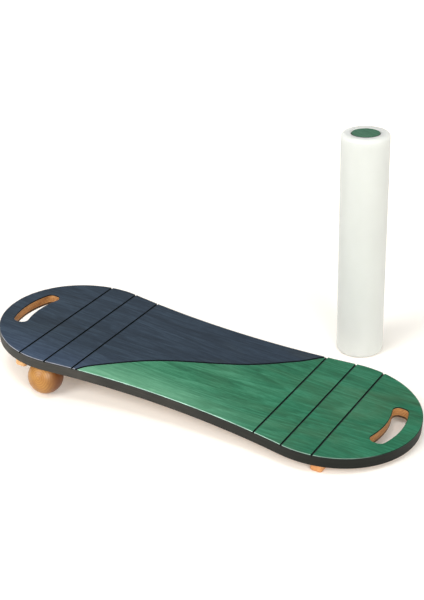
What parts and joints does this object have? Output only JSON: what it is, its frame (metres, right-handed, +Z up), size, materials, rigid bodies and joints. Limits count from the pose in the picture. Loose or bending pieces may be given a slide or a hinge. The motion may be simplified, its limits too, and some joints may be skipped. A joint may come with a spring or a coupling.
{
  "type": "balance board set",
  "caption": "Long waisted balance board with hand slots and cross grooves, lying on two wooden balls and a stop rail, with an upright roller behind it.",
  "frame": {"origin": "middle of the footprint of the whole set, on the floor", "axes": "+X along the deck towards its lower end, +Y across the deck towards the roller, +Z up"},
  "size_m": [0.8219, 0.4834, 0.43],
  "materials": {
    "stain_blue": "blue stain, satin, grain along the board",
    "stain_green": "green stain, satin, grain along the board",
    "plywood": "oiled birch plywood, natural in the hand slots, black in the grooves",
    "backing": "oiled veneer",
    "edge_black": "matt black lacquer",
    "rail_wood": "oiled hardwood",
    "ball_wood": "turned and oiled, growth rings showing",
    "core_wood": "natural",
    "disc_green": "green stain, satin",
    "sleeve_white": "frosted milky elastomer",
    "screw_steel": "zinc plated"
  },
  "bodies": {
    "deck": {"deck_core": "plywood", "backing_veneer": "backing", "edge_band": "edge_black", "left_stop_rail": "rail_wood", "right_stop_rail": "rail_wood", "left_rail_screws": "screw_steel", "right_rail_screws": "screw_steel", "blue_end_panel": "stain_blue", "blue_outer_strip_panel": "stain_blue", "blue_inner_strip_panel": "stain_blue", "blue_middle_panel": "stain_blue", "green_end_panel": "stain_green", "green_outer_strip_panel": "stain_green", "green_inner_strip_panel": "stain_green", "green_middle_panel": "stain_green"},
    "front_ball": {"front_ball": "ball_wood"},
    "rear_ball": {"rear_ball": "ball_wood"},
    "roller": {"roller_sleeve": "sleeve_white", "roller_core": "core_wood", "upper_end_disc": "disc_green", "lower_end_disc": "disc_green"}
  },
  "joints": [
    {"name": "front_ball_turn", "type": "hinge", "parent": "deck", "child": "front_ball", "pos_m": [-0.24922, -0.20975, 0.032], "axis": [0, 1, 0], "continuous": true},
    {"name": "rear_ball_turn", "type": "hinge", "parent": "deck", "child": "rear_ball", "pos_m": [-0.24922, 0.05225, 0.032], "axis": [0, 1, 0], "continuous": true},
    {"name": "roller_lift", "type": "slide", "parent": "deck", "child": "roller", "axis": [0, 0, 1], "range_m": [0, 0.25]}
  ]
}
